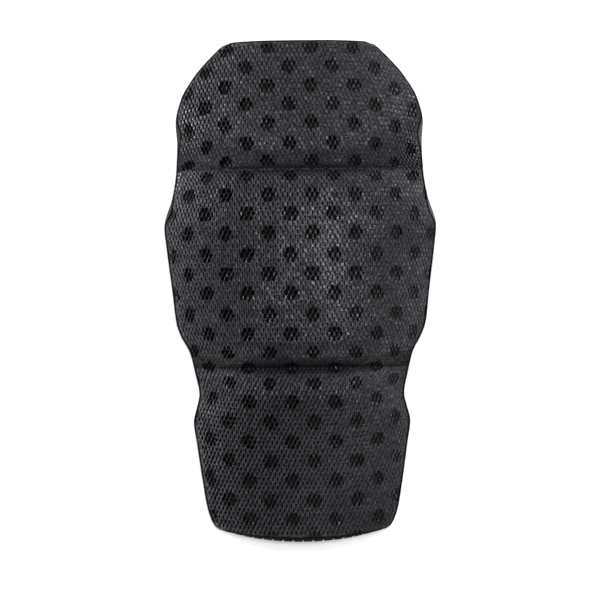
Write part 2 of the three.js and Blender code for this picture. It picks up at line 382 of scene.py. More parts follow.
def foam_inset(row):
    """How far the skin reaches past the side rims of the foam."""
    inset = SKIN_RIM
    for y, depth, half_length in PINCHES:
        inset = inset + depth * np.maximum(0, 1 - np.abs(row - y) / half_length)
    return inset


def net_room(t, row):
    """How far inside the net's edge a place is, in mm."""
    side = (1 - np.abs(t)) * row_half(row) - foam_inset(row) - COVER_INSET
    thigh = THIGH_END - SKIN_RIM - COVER_INSET - row
    shin = row - (SHIN_END + SHIN_BAND + COVER_INSET)
    return np.minimum(side, np.minimum(thigh, shin))


def foam_top(across, row):
    """Under the net, and up to the front surface in a lip round the net's edge."""
    under = FOAM_UNDER_FRONT * slope_factor(front_height, across, row)
    step = np.clip(net_room(across, row) / COVER_INSET + 1, 0, 1)
    return front_height(across, row) - FOAM_LIP - (under - FOAM_LIP) * step


def foam_under(across, row):
    return back_height(across, row) + FOAM_OVER_BACK * slope_factor(back_height, across, row)


def skin_top(across, row):
    return back_height(across, row) + SKIN_WALL * slope_factor(back_height, across, row)


class SurfaceMap:
    """From ways along the front surface (across, and along the centre line) to places on it."""

    def __init__(self):
        self.rows = np.arange(-MAP_ROWS_REACH, MAP_ROWS_REACH + MAP_STEP / 2, MAP_STEP)
        heights = front_height(np.zeros_like(self.rows), self.rows)
        along = np.concatenate([[0], np.cumsum(np.hypot(np.diff(self.rows), np.diff(heights)))])
        self.along = along - np.interp(HOLE_GRID_Y, self.rows, along)
        self.ways = np.arange(-MAP_WAYS_REACH, MAP_WAYS_REACH + MAP_STEP / 2, MAP_STEP)
        places = np.linspace(-MAP_PAST_RIM, MAP_PAST_RIM, MAP_PLACES)
        middle = len(places) // 2
        lean = (front_line(self.rows + 1) - front_line(self.rows - 1)) / 2
        start = self.rows[:, None]
        t = places[None, :]
        row = np.repeat(start, len(places), axis=1)
        for _ in range(MAP_ROUNDS):
            drop = heights[:, None] - front_height(t, row)
            row = start + lean[:, None] * drop - bow(start) * t**2
        x, y = plan(t, row)
        z = front_height(t, row)
        gone = np.sqrt(np.diff(x) ** 2 + np.diff(y) ** 2 + np.diff(z) ** 2)
        gone = np.concatenate([np.zeros((len(self.rows), 1)), np.cumsum(gone, axis=1)], axis=1)
        gone = gone - gone[:, middle : middle + 1]
        self.t = np.array([np.interp(self.ways, g, places) for g in gone])
        self.row = np.array([np.interp(self.ways, g, r) for g, r in zip(gone, row)])

    def at(self, across_way, along_way):
        i = np.interp(along_way, self.along, np.arange(len(self.rows)))
        j = np.interp(across_way, self.ways, np.arange(len(self.ways)))
        i0 = np.minimum(i.astype(int), len(self.rows) - 2)
        j0 = np.minimum(j.astype(int), len(self.ways) - 2)
        u, v = i - i0, j - j0

        def mix(grid):
            low = grid[i0, j0] * (1 - v) + grid[i0, j0 + 1] * v
            high = grid[i0 + 1, j0] * (1 - v) + grid[i0 + 1, j0 + 1] * v
            return low * (1 - u) + high * u

        return mix(self.t), mix(self.row)


surface = SurfaceMap()


def front_point(across, row):
    x, y = plan(across, row)
    return np.stack([x, y, front_height(across, row)], axis=-1)


def front_normal(across, row):
    side = NORMAL_STEP / row_half(row)
    dx = front_point(across + side, row) - front_point(across - side, row)
    dy = front_point(across, row + NORMAL_STEP) - front_point(across, row - NORMAL_STEP)
    n = np.cross(dx, dy)
    return n / np.linalg.norm(n, axis=-1, keepdims=True)


def hole_centres():
    """Ways across and along of every vent hole, cut ones at the rim included."""
    centres = []
    for n in range(-HOLE_ROWS, HOLE_ROWS + 1):
        shift = 0 if n % 2 == 0 else HOLE_COLUMN_PITCH / 2
        for k in range(-HOLE_COLUMNS, HOLE_COLUMNS + 1):
            centres.append((HOLE_GRID_X - shift + k * HOLE_COLUMN_PITCH, n * HOLE_ROW_PITCH))
    return np.array(centres)


holes = hole_centres()


def placed(mesh):
    piece = bpy.data.objects.new(mesh.name, mesh)
    bpy.context.scene.collection.objects.link(piece)
    return piece


def tidy(mesh):
    """Drop loose and repeated points and empty faces, and shade smoothly."""
    work = bmesh.new()
    work.from_mesh(mesh)
    bmesh.ops.remove_doubles(work, verts=work.verts, dist=MERGE_IN_MESH)
    bmesh.ops.dissolve_degenerate(work, edges=work.edges, dist=MERGE_IN_MESH)
    loose = [v for v in work.verts if not v.link_faces]
    bmesh.ops.delete(work, geom=loose, context="VERTS")
    for face in work.faces:
        face.smooth = True
    work.to_mesh(mesh)
    work.free()


def closed_mesh(name, top, under, faces):
    """A closed mesh from a face net with its top and under points, walled along every open edge."""
    count = len(top)
    uses = {}
    for face in faces:
        for a, b in zip(face, face[1:] + face[:1]):
            key = (a, b) if a < b else (b, a)
            uses[key] = None if key in uses else (a, b)
    walls = [(a, count + a, count + b, b) for a, b in filter(None, uses.values())]
    below = [tuple(count + i for i in reversed(face)) for face in faces]
    mesh = bpy.data.meshes.new(name)
    points = np.concatenate([top, under]) * MM
    mesh.from_pydata(points.tolist(), [], [tuple(f) for f in faces] + below + walls)
    mesh.update()
    mesh.polygons.foreach_set("use_smooth", np.ones(len(mesh.polygons), dtype=bool))
    return placed(mesh)


def plate(outline, circles, spacing):
    """Triangles inside an outline and outside circles, all in a flat (mm, mm) plan of the sheet."""
    points = [Vector(p) for p in outline]
    edges = [(i, (i + 1) % len(outline)) for i in range(len(outline))]
    for circle in circles:
        start = len(points)
        points += [Vector(p) for p in circle]
        edges += [(start + i, start + (i + 1) % len(circle)) for i in range(len(circle))]
    low, high = np.min(outline, axis=0), np.max(outline, axis=0)
    n = 0
    y = low[1] + spacing / 2
    while y < high[1]:
        x = low[0] + (0.5 if n % 2 else 1.0) * spacing
        while x < high[0]:
            points.append(Vector((x, y)))
            x += spacing
        y += spacing * SPACING_OF_ROWS
        n += 1
    flat, _, faces, _, _, _ = delaunay_2d_cdt(points, edges, [], 0, MERGE_IN_PLAN)
    return np.array([(p.x, p.y) for p in flat]), np.array([list(f) for f in faces])


def inside(polygon, points):
    """Whether each point lies in the polygon."""
    found = np.zeros(len(points), dtype=bool)
    for (x0, y0), (x1, y1) in zip(polygon, np.roll(polygon, -1, axis=0)):
        cross = (y0 > points[:, 1]) != (y1 > points[:, 1])
        with np.errstate(divide="ignore", invalid="ignore"):
            at = (x1 - x0) * (points[:, 1] - y0) / (y1 - y0) + x0
        found ^= cross & (points[:, 0] < at)
    return found


def used_only(points, faces):
    """Places across and rows of the points that faces use, and the faces numbered for those."""
    used = np.unique(faces)
    renumber = np.full(len(points), -1)
    renumber[used] = np.arange(len(used))
    return points[used, 0] / FLAT_SCALE, points[used, 1], renumber[faces].tolist()


def leaned(t, row):
    """Places on the foam's underside, straight in from places on its front but for the creases."""
    step = SLOPE_STEP
    side = step / row_half(row)
    slope_x = (dome_height(t + side, row) - dome_height(t - side, row)) / (2 * step)
    slope_y = (dome_height(t, row + step) - dome_height(t, row - step)) / (2 * step)
    thick = foam_top(t, row) - foam_under(t, row)
    lean = thick * np.clip(net_room(t, row) / LEAN_ROOM, 0, 1)
    return t + lean * slope_x / row_half(row), row + lean * slope_y


def make_foam():
    """The foam with its vent holes."""
    ends = (THIGH_END - SKIN_RIM, SHIN_END + SHIN_BAND)
    side_rows = np.linspace(ends[1], ends[0], FOAM_RIM_POINTS)
    rim = 1 - foam_inset(side_rows) / row_half(side_rows)
    across_end = np.linspace(-1, 1, END_POINTS)[1:-1]
    outline = np.concatenate(
        [
            np.stack([rim * FLAT_SCALE, side_rows], axis=1),
            np.stack([-across_end * rim[-1] * FLAT_SCALE, np.full_like(across_end, ends[0])], axis=1),
            np.stack([-rim[::-1] * FLAT_SCALE, side_rows[::-1]], axis=1),
            np.stack([across_end * rim[0] * FLAT_SCALE, np.full_like(across_end, ends[1])], axis=1),
        ]
    )
    circles = []
    angles = np.linspace(0, 2 * math.pi, HOLE_SIDES, endpoint=False)
    for a, b in holes:
        t, row = surface.at(a + HOLE_RADIUS * np.cos(angles), b + HOLE_RADIUS * np.sin(angles))
        row = np.clip(row, ends[1] + RIM_WALL, ends[0] - RIM_WALL)
        widest = 1 - (foam_inset(row) + RIM_WALL) / row_half(row)
        t = np.clip(t, -widest, widest)
        if min(np.ptp(t * row_half(row)), np.ptp(row)) < SMALLEST_HOLE:
            continue
        circles.append(np.stack([t * FLAT_SCALE, row], axis=1))
    points, faces = plate(outline, circles, FOAM_SPACING)
    middle = points[faces].mean(axis=1)
    keep = inside(outline, middle)
    for circle in circles:
        near = np.abs(middle - circle.mean(axis=0)).max(axis=1) < HOLE_SEARCH
        index = np.where(near)[0]
        keep[index[inside(circle, middle[index])]] = False
    t, row, faces = used_only(points, faces[keep])
    top = np.stack([*plan(t, row), foam_top(t, row)], axis=1)
    t, row = leaned(t, row)
    under = np.stack([*plan(t, row), foam_under(t, row)], axis=1)
    return closed_mesh("foam_body", top, under, faces)


def make_skin():
    """The layer behind the foam, with the notches of its shin edge."""
    side_rows = np.linspace(SHIN_END, THIGH_END, SKIN_RIM_POINTS)
    rim = np.full_like(side_rows, FLAT_SCALE)
    end_half = row_half(np.array([SHIN_END]))[0]
    shin = []
    for n in range(-NOTCHES_EACH_SIDE, NOTCHES_EACH_SIDE + 1):
        x = n * NOTCH_PITCH
        for side, depth in NOTCH_PROFILE:
            shin.append(((x + side * NOTCH_WIDTH) / end_half, SHIN_END + depth * NOTCH_DEPTH))
        for part in NOTCH_GAP_POINTS:
            if n < NOTCHES_EACH_SIDE:
                shin.append(((x + part * NOTCH_PITCH) / end_half, SHIN_END))
    shin = np.array(shin)
    across_end = np.linspace(-1, 1, END_POINTS)[1:-1]
    outline = np.concatenate(
        [
            np.stack([rim, side_rows], axis=1),
            np.stack([-across_end * FLAT_SCALE, np.full_like(across_end, THIGH_END)], axis=1),
            np.stack([-rim, side_rows[::-1]], axis=1),
            shin * (FLAT_SCALE, 1),
        ]
    )
    points, faces = plate(outline, [], SKIN_SPACING)
    t, row, faces = used_only(points, faces[inside(outline, points[faces].mean(axis=1))])
    x, y = plan(t, row)
    top = np.stack([x, y, skin_top(t, row)], axis=1)
    under = np.stack([x, y, back_height(t, row)], axis=1)
    skin = closed_mesh("back_layer", top, under, faces)
    # Painted light: the skin's margin past the pinched foam is painted pale, less on the left
    painted_light = np.clip((np.abs(t) - PALE_FROM) / PALE_FADE, 0, 1)
    painted_light = painted_light * np.clip(foam_inset(row) - SKIN_RIM, 0, 1) * np.where(t < 0, PALE_ON_LEFT, 1)
    layer = skin.data.attributes.new("painted_light_margin", "FLOAT", "POINT")
    layer.data.foreach_set("value", np.concatenate([painted_light, 0 * painted_light]).astype(np.float32))
    return skin


def onto_net(t, row):
    """Move places that lie past the net's edge onto it."""
    row = np.clip(row, SHIN_END + SHIN_BAND + COVER_INSET, THIGH_END - SKIN_RIM - COVER_INSET)
    limit = 1 - (foam_inset(row) + COVER_INSET) / row_half(row)
    return np.clip(t, -limit, limit), row


def hole_distance(ways):
    """How far each (across, along) way is from the nearest hole's centre."""
    away = np.full(len(ways), np.inf)
    for centre in holes:
        away = np.minimum(away, np.hypot(*(ways - centre).T))
    return away


def creased(t, row):
    """How far into a crease or gusset a place on the net is, from 0 to 1."""
    return np.clip((1 - crease_factor(np.clip(t, -1, 1), row)) / CREASED_IN_FULL, 0, 1)


def on_thigh_flank(row):
    """1 on the flanks of the creases that lie to the thigh, gussets included, and 0 elsewhere."""
    share = np.zeros(np.shape(row))
    for place, _, reach, _ in CREASES:
        share = np.where((row > place) & (row < place + 2 * reach), 1.0, share)
    return share


def closed_up(t, row):
    """How far a crease closes the net's openings, from 0 to 1, least on its flank to the shin."""
    in_full = np.maximum(on_thigh_flank(row), np.clip(t, -1, 1) ** GUSSET_CLOSES_POWER)
    share = SHIN_FLANK_CLOSES + (1 - SHIN_FLANK_CLOSES) * in_full
    return CREASE_CLOSES * share * creased(t, row)


def left_flank(t):
    """1 on the left flank, fading to 0 towards the middle."""
    return np.clip((-t - FLANK_FROM) / FLANK_FADE, 0, 1)


def painted_shade(t, row):
    """How much painted shade darkens the net in a crease or gusset, most in a crease's bottom, from 0
    to 1.
    """
    share = CREASE_SHADE * creased(t, row)
    for place, most, reach in PAINTED_CREASE_SHADE:
        share = np.maximum(share, most * np.exp(-(((row - place) / reach) ** 2)))
    to_rim = np.clip(np.abs(t), 0, 1) ** GUSSET_SHADE_POWER
    return share * (1 - to_rim) + GUSSET_SHADE * to_rim * creased(t, row) * on_thigh_flank(row)


def net_centres():
    """Ways across and along of the net's openings, in staggered rows."""
    row_count = int(NET_REACH_ALONG / NET_ROW_PITCH)
    column_count = int(NET_REACH_ACROSS / NET_COLUMN_PITCH)
    rows = np.arange(-row_count, row_count + 1)
    columns = np.arange(-column_count, column_count + 1)
    across = (columns[None, :] + 0.5 * (rows[:, None] % 2)) * NET_COLUMN_PITCH
    along = np.repeat(rows[:, None] * NET_ROW_PITCH, len(columns), axis=1)
    return np.stack([across.ravel(), along.ravel()], axis=1)


def stretched(net):
    """Ways on the pad of places on the net as it was before it was stretched."""
    across, along = net[..., 0], net[..., 1]
    near_knee = np.exp(-(((along - STRETCH_AT) / STRETCH_ALONG) ** 2))
    return np.stack([across + STRETCH * np.tanh(across / STRETCH_ACROSS) * near_knee, along], axis=-1)


def on_shin(along):
    """1 on the shin's panel, 0 on the others."""
    return np.clip((LEAN_TURN - along) / LEAN_TURN_FADE + 0.5, 0, 1)


def on_thigh(along):
    """1 on the thigh's panel, 0 on the others."""
    return np.clip((along - THIGH_FROM) / THIGH_FADE, 0, 1)


def opening_lean(net, over):
    """How far openings lean over, with over 1 for those that hang over a hole."""
    across, along = net[:, 0], net[:, 1]
    on_foam = LEAN_KNEE + (LEAN_SHIN - LEAN_KNEE) * on_shin(along)
    on_left = np.clip((LEAN_LEFT_TO - across) / LEAN_LEFT_FADE, 0, 1)
    on_left = on_left * np.clip((LEAN_LEFT_BELOW - along) / LEAN_LEFT_BELOW_FADE, 0, 1)
    return on_foam * (1 - over) + np.maximum(LEAN_LEFT_HOLES * on_left, on_foam) * over


def twinned(ways):
    """How far the beads of yarn part into two strands, from 0 to 1."""
    away = (ways - np.array(TWIN_AT)) / np.array(TWIN_REACH)
    return np.exp(-(away**2).sum(axis=1))


def near_places(places, t, row):
    """How near the net is to the places of a list, from 0 to 1."""
    share = np.zeros_like(t)
    for middle, along, reach, reach_along in places:
        away = ((t - middle) / reach) ** 2 + ((row - along) / reach_along) ** 2
        share = np.maximum(share, np.exp(-away))
    return share


def strained(t, row):
    """How far the net is strained open at the rims, from 0 to 1."""
    return near_places(STRAINED, t, row)


def bead_gloss(ways, flank, strain, over):
    """How glossy each bead of yarn is: 0 to 1, more where strained and for some over holes."""
    across, along = ways[:, 0], ways[:, 1]
    band_at = np.interp(along, *zip(*SHEEN_BAND))
    band = np.exp(-(((across - band_at) / SHEEN_BAND_WIDTH) ** 2))
    band = band * (np.abs(along - SHEEN_MIDDLE) < SHEEN_REACH)
    sheen = np.maximum(np.maximum(band, flank), strain)
    rarity = GLOSS_RARITY + (GLOSS_RARITY_SHEEN - GLOSS_RARITY) * sheen
    gloss = rng.random(len(ways)) ** rarity + STRAIN_GLOSS * strain
    common = GLINTS_OVER_HOLES * (1 - GLINTS_FEWER_RIGHT * np.tanh(across / SLIT_CHANGE_REACH))
    glint = (rng.random(len(ways)) < common) & (over > 0.5)
    return np.where(glint, GLINT_STRENGTH, gloss)


def make_net():
    """Loops of yarn: each cell is a ridge round an upright opening, in a six-sided border."""
    side, tall = NET_COLUMN_PITCH / 2, NET_ROW_PITCH / 3
    border = np.array(
        [
            (0, 2 * tall),
            (-side, tall),
            (-side, 0),
            (-side, -tall),
            (0, -2 * tall),
            (side, -tall),
            (side, 0),
            (side, tall),
        ]
    )
    corners = len(border)
    is_side = np.array([0, 0, 1, 0, 0, 0, 1, 0])
    turn = np.linspace(0, 2 * math.pi, corners, endpoint=False) + math.pi / 2
    slit = np.stack([np.cos(turn), np.sin(turn)], axis=1)

    centres = net_centres()
    ring = stretched(centres[:, None, :] + border)
    centres = centres[(net_room(*surface.at(ring[..., 0], ring[..., 1])) > 0).any(axis=1)]
    count = len(centres)
    ring = centres[:, None, :] + border
    middle = stretched(centres)
    over = np.clip(HOLE_RADIUS + OVER_HOLE_MARGIN - hole_distance(middle), 0, 1)
    t, row = surface.at(middle[:, 0], middle[:, 1])
    slack = 1 - SLIT_WIDER_LEFT * np.tanh(middle[:, 0] / SLIT_CHANGE_REACH)
    slack = (slack + FLANK_OPENS * left_flank(t)) * (1 - closed_up(t, row) * (1 - over))
    twin_cell = twinned(middle) * (1 - over)
    tight = TWIN_CLOSES * twin_cell + THIGH_CLOSES * on_thigh(middle[:, 1]) * (1 - over)
    slack = slack * (1 - tight) + STRAIN_OPENS * strained(t, row)
    open_share = np.clip((net_room(t, row) - CLOSED_EDGE) / OPEN_FADE, 0, 1)
    has_slit = open_share > LEAST_OPEN

    half = np.array(SLIT_ON_FOAM) * (1 - over[:, None]) + np.array(SLIT_OVER_HOLE) * over[:, None]
    half[:, 0] = np.minimum(half[:, 0] * slack, SLIT_WIDEST)
    half = half * open_share[:, None] * rng.normal(1.0, SLIT_JITTER, (count, 2))
    opening = slit * half[:, None, :]
    opening[..., 0] += opening_lean(centres, over)[:, None] * opening[..., 1]
    place = centres + rng.normal(0.0, SLIT_PLACE_JITTER, (count, 2)) * open_share[:, None]
    edge = place[:, None, :] + opening

    flat_ring = ring.reshape(-1, 2)
    told_apart = np.round(flat_ring * CORNERS_PER_MM).astype(int)
    _, first, which = np.unique(told_apart, axis=0, return_index=True, return_inverse=True)
    shared = flat_ring[first]
    side_share = np.tile(is_side, count)[first]
    shared_ways = stretched(shared)
    over_here = np.clip((HOLE_RADIUS - hole_distance(shared_ways)) / JOIN_FADE, 0, 1)
    join_drop = JOIN_ON_FOAM + (JOIN_OVER_HOLE - JOIN_ON_FOAM) * over_here
    twin = np.maximum(twinned(shared_ways), TWIN_ON_SHIN * on_shin(shared_ways[:, 1]))
    twin = twin * (1 - over_here)
    shared_drop = np.where(side_share, TWIN_DROP * twin, join_drop)
    shared = shared + rng.normal(0, NET_JITTER, (len(first), 2))
    ring_index = which.reshape(count, corners)
    ridge = shared[ring_index] * (1 - NET_RIDGE) + edge * NET_RIDGE

    ridge_drop = np.where(is_side, *SHOULDER_DROP) * (1 - twin_cell)[:, None]
    edge_drop = np.repeat(NET_EDGE_DROP * np.clip(slack, *NET_EDGE_RANGE), corners)
    drop = np.concatenate([shared_drop, ridge_drop.ravel(), edge_drop])
    ways = stretched(np.concatenate([shared, ridge.reshape(-1, 2), edge.reshape(-1, 2)]))

    ridge_index = len(shared) + np.arange(corners * count).reshape(count, corners)
    edge_index = ridge_index + corners * count
    faces = [ring_index[~has_slit]]
    for outer, inner in ((ring_index, ridge_index), (ridge_index, edge_index)):
        outer, inner = outer[has_slit], inner[has_slit]
        following = np.roll(np.arange(corners), -1)
        quads = np.stack([outer, outer[:, following], inner[:, following], inner], axis=2)
        faces.append(quads.reshape(-1, 4))

    away = hole_distance(ways)
    dip = NET_DIP * np.maximum(0, 1 - (away / HOLE_RADIUS) ** 2)
    t, row = onto_net(*surface.at(ways[:, 0], ways[:, 1]))
    points = front_point(t, row) - front_normal(t, row) * (drop + dip)[:, None]
    mesh = bpy.data.meshes.new("face_net")
    mesh.from_pydata((points * MM).tolist(), [], [f for part in faces for f in part.tolist()])
    # Painted shade in the yarn's hollows: the deeper a point lies under the beads' tops, the darker
    # its colour and shine are painted
    depth = np.clip(drop / DARKEST_DROP, 0, 1)
    flank = np.maximum(left_flank(t), near_places(GLOSSY_RIM, t, row))[: len(shared)]
    strain = strained(t, row)[: len(shared)]
    bead = bead_gloss(ways[: len(shared)], flank, strain, over_here) * side_share
    # The three corners on each side of a cell take a share of the gloss of the bead between them
    shoulder = np.zeros((count, corners))
    for bead_corner in np.flatnonzero(is_side):
        near = slice(bead_corner - 1, bead_corner + 2)
        shoulder[:, near] = SHOULDER_GLOSS * bead[ring_index[:, [bead_corner]]]
    gloss = np.concatenate([bead, shoulder.ravel(), np.zeros(corners * count)])
    # Painted shade on the yarn: on the knee's left, on the thigh, and in creases and gussets, less
    # where the net is strained open
    shade = np.maximum(TWIN_SHADE * twinned(ways), THIGH_SHADE * on_thigh(ways[:, 1]))
    shade = np.maximum(painted_shade(t, row), shade)
    shade = shade * (1 - STRAIN_CLEARS * strained(t, row))
    for name, values in (("painted_shade", shade), ("depth", depth), ("gloss", gloss)):
        layer = mesh.attributes.new(name, "FLOAT", "POINT")
        layer.data.foreach_set("value", values.astype(np.float32))
    layer = mesh.attributes.new("ways", "FLOAT_VECTOR", "POINT")
    layer.data.foreach_set("vector", np.column_stack([ways, 0 * away]).astype(np.float32).ravel())
    tidy(mesh)
    return placed(mesh)


# Materials: scales of noise per metre, colours by the noise's value, ranges of shine and bumps
YARN_BROAD_SCALE = 28.0
YARN_CLUMP_SCALE = 650.0
YARN_FIBRE_SCALE = 2200.0
YARN_ON_FOAM = [(0.3, (0.0150, 0.0146, 0.0182)), (0.7, (0.0198, 0.0193, 0.0235))]
YARN_OVER_HOLE = [(0.3, (0.0075, 0.0075, 0.0062)), (0.7, (0.0105, 0.0105, 0.0088))]
YARN_LIGHT_DARK = [(0.32, (0.45, 0.45, 0.45)), (0.68, (1.5, 1.5, 1.5))]
# The colour that painted shade darkens the yarn towards
YARN_DARKEST = (0.0015, 0.0015, 0.0016)
YARN_TINT = (0.89, 0.885, 1.0, 1.0)
HOLE_RIM_BLUR = 0.2
# How much of the yarn's colour and shine the painted shade of creases, gussets, thigh and knee leaves
# at most
PAINTED_SHADE_LEAVES = (1.0, 0.2)
# The painted shade of the yarn's hollows: the depth painted darkest, and how much colour and shine is
# left from the tops to there
DEEPEST = 0.7
DEPTH_LIT = (1.0, 0.12)
GLOSS_SHINE = (0.28, 1.40)
HOLE_SHINE = (0.60, 1.0)
PATCH_SCALE = 24.0
PATCH_NOISE = (0.4, 0.6)
PATCH_SHINE = (0.88, 1.14)
SPECK_SCALE = 1000.0
SPECK_NOISE = (0.36, 0.64)
SPECK_SHINE = (0.20, 2.05)
GLOSS_ROUGHNESS = (0.44, 0.22)
CLUMP_BUMP = (0.5, 0.0004)
FIBRE_BUMP = (0.3, 0.0002)

FOAM_BROAD_SCALE = 40.0
FOAM_PORE_SCALE = 1400.0
FOAM_COLOURS = [(0.3, (0.0022, 0.0022, 0.0023)), (0.7, (0.0038, 0.0038, 0.0039))]
FOAM_ROUGHNESS = 0.9
FOAM_SHINE = 0.1
PORE_BUMP = (0.5, 0.0003)

SKIN_BROAD_SCALE = 60.0
SKIN_GRAIN_SCALE = 1600.0
SKIN_COLOURS = [(0.3, (0.0065, 0.0065, 0.0060)), (0.7, (0.0098, 0.0098, 0.0089))]
# The pale colour painted as light on the skin's margin
SKIN_PALE = [(0.3, (0.060, 0.060, 0.061)), (0.7, (0.090, 0.090, 0.091))]
SKIN_ROUGHNESS = 0.8
SKIN_SHINE = 0.15
GRAIN_BUMP = (0.4, 0.0002)

WHOLE = (0.0, 1.0)


class Nodes:
    """A material's node tree with short calls to add and join nodes."""

    def __init__(self, name):
        self.material = bpy.data.materials.new(name)
        self.material.use_nodes = True
        self.tree = self.material.node_tree
        self.shader = self.tree.nodes["Principled BSDF"]

    def add(self, kind, **settings):
        node = self.tree.nodes.new(kind)
        for key, value in settings.items():
            setattr(node, key, value)
        return node

    def join(self, a, b):
        self.tree.links.new(a, b)

    def noise(self, scale, detail=3.0, roughness=0.55):
        place = self.add("ShaderNodeTexCoord")
        node = self.add("ShaderNodeTexNoise")
        node.inputs["Scale"].default_value = scale
        node.inputs["Detail"].default_value = detail
        node.inputs["Roughness"].default_value = roughness
        self.join(place.outputs["Object"], node.inputs["Vector"])
        return node.outputs["Fac"]

    def ramp(self, value, stops):
        node = self.add("ShaderNodeValToRGB")
        ramp = node.color_ramp
        while len(ramp.elements) < len(stops):
            ramp.elements.new(0.5)
        for element, (position, colour) in zip(ramp.elements, stops):
            element.position = position
            element.color = (*colour, 1)
        self.join(value, node.inputs["Fac"])
        return node.outputs["Color"]

    def spread(self, value, source, target):
        """The value moved from one range to another, and kept inside it."""
        node = self.add("ShaderNodeMapRange")
        for name, number in zip(("From Min", "From Max", "To Min", "To Max"), (*source, *target)):
            node.inputs[name].default_value = number
        self.join(value, node.inputs["Value"])
        return node.outputs["Result"]

    def times(self, a, b):
        node = self.add("ShaderNodeMath", operation="MULTIPLY")
        self.join(a, node.inputs[0])
        self.join(b, node.inputs[1])
        return node.outputs["Value"]

    def attribute(self, name):
        return self.add("ShaderNodeAttribute", attribute_name=name).outputs["Fac"]

    def mix(self, factor, a, b, blend="MIX"):
        node = self.add("ShaderNodeMix", data_type="RGBA", blend_type=blend)
        if isinstance(factor, float):
            node.inputs[0].default_value = factor
        else:
            self.join(factor, node.inputs[0])
        for socket, value in ((node.inputs[6], a), (node.inputs[7], b)):
            if isinstance(value, tuple):
                socket.default_value = (*value, 1)
            else:
                self.join(value, socket)
        return node.outputs[2]

    def bump(self, value, strength, distance, below=None):
        node = self.add("ShaderNodeBump")
        node.inputs["Strength"].default_value = strength
        node.inputs["Distance"].default_value = distance
        self.join(value, node.inputs["Height"])
        if below is not None:
            self.join(below, node.inputs["Normal"])
        return node.outputs["Normal"]


def distance_to_hole(m):
    """How far a place on the net is from the nearest point of the staggered hole grid."""
    ways = m.add("ShaderNodeAttribute", attribute_name="ways").outputs["Vector"]
    reach = (HOLE_COLUMN_PITCH / 2, HOLE_ROW_PITCH, 1.0)
    nearest = m.add("ShaderNodeMath", operation="MINIMUM")
    for index, stagger in enumerate((0.0, 1.0)):
        centre = (HOLE_GRID_X + stagger * reach[0], stagger * reach[1], 0.0)
        wrap = m.add("ShaderNodeVectorMath", operation="WRAP")
        m.join(ways, wrap.inputs[0])
        wrap.inputs[1].default_value = [c + r for c, r in zip(centre, reach)]
        wrap.inputs[2].default_value = [c - r for c, r in zip(centre, reach)]
        distance = m.add("ShaderNodeVectorMath", operation="DISTANCE")
        m.join(wrap.outputs["Vector"], distance.inputs[0])
        distance.inputs[1].default_value = centre
        m.join(distance.outputs["Value"], nearest.inputs[index])
    return nearest.outputs["Value"]


def net_material():
    m = Nodes("net_yarn")
    broad = m.noise(YARN_BROAD_SCALE, 2.0)
    clumps = m.noise(YARN_CLUMP_SCALE, 2.0)
    fibres = m.noise(YARN_FIBRE_SCALE, 2.0)
    on_foam = m.ramp(broad, YARN_ON_FOAM)
    over_hole = m.ramp(broad, YARN_OVER_HOLE)
    rim = (HOLE_RADIUS - HOLE_RIM_BLUR, HOLE_RADIUS + HOLE_RIM_BLUR)
    on = m.spread(distance_to_hole(m), rim, WHOLE)
    colour = m.mix(on, over_hole, on_foam)
    light_dark = m.ramp(clumps, YARN_LIGHT_DARK)
    colour = m.mix(1.0, colour, light_dark, "MULTIPLY")
    # Painted shade darkens the yarn's colour and shine in creases, gussets, on the thigh and the
    # knee's left, and in its hollows
    left_by_painted_shade = m.spread(m.attribute("painted_shade"), WHOLE, PAINTED_SHADE_LEAVES)
    lit = m.times(m.spread(m.attribute("depth"), (0.0, DEEPEST), DEPTH_LIT), left_by_painted_shade)
    m.join(m.mix(lit, YARN_DARKEST, colour), m.shader.inputs["Base Color"])
    gloss = m.attribute("gloss")
    shine = m.spread(gloss, (0.0, GLINT_STRENGTH), GLOSS_SHINE)
    shine = m.times(shine, m.spread(on, WHOLE, HOLE_SHINE))
    shine = m.times(shine, m.spread(m.noise(PATCH_SCALE, 1.0), PATCH_NOISE, PATCH_SHINE))
    shine = m.times(shine, m.spread(m.noise(SPECK_SCALE, 1.0), SPECK_NOISE, SPECK_SHINE))
    m.join(m.times(shine, lit), m.shader.inputs["Specular IOR Level"])
    m.join(m.spread(gloss, WHOLE, GLOSS_ROUGHNESS), m.shader.inputs["Roughness"])
    m.shader.inputs["Specular Tint"].default_value = YARN_TINT
    rough = m.bump(clumps, *CLUMP_BUMP)
    m.join(m.bump(fibres, *FIBRE_BUMP, rough), m.shader.inputs["Normal"])
    return m.material


def foam_material():
    m = Nodes("foam_black")
    broad = m.noise(FOAM_BROAD_SCALE, 3.0)
    pores = m.add("ShaderNodeTexVoronoi")
    pores.inputs["Scale"].default_value = FOAM_PORE_SCALE
    place = m.add("ShaderNodeTexCoord")
    m.join(place.outputs["Object"], pores.inputs["Vector"])
    colour = m.ramp(broad, FOAM_COLOURS)
    m.join(colour, m.shader.inputs["Base Color"])
    m.shader.inputs["Roughness"].default_value = FOAM_ROUGHNESS
    m.shader.inputs["Specular IOR Level"].default_value = FOAM_SHINE
    m.join(m.bump(pores.outputs["Distance"], *PORE_BUMP), m.shader.inputs["Normal"])
    return m.material


def skin_material():
    m = Nodes("skin_dark")
    broad = m.noise(SKIN_BROAD_SCALE, 4.0)
    grain = m.noise(SKIN_GRAIN_SCALE, 2.0)
    colour = m.ramp(broad, SKIN_COLOURS)
    # Painted light on the skin's margin past the pinched foam
    pale = m.ramp(grain, SKIN_PALE)
    colour = m.mix(m.attribute("painted_light_margin"), colour, pale)
    m.join(colour, m.shader.inputs["Base Color"])
    m.shader.inputs["Roughness"].default_value = SKIN_ROUGHNESS
    m.shader.inputs["Specular IOR Level"].default_value = SKIN_SHINE
    m.join(m.bump(grain, *GRAIN_BUMP), m.shader.inputs["Normal"])
    return m.material


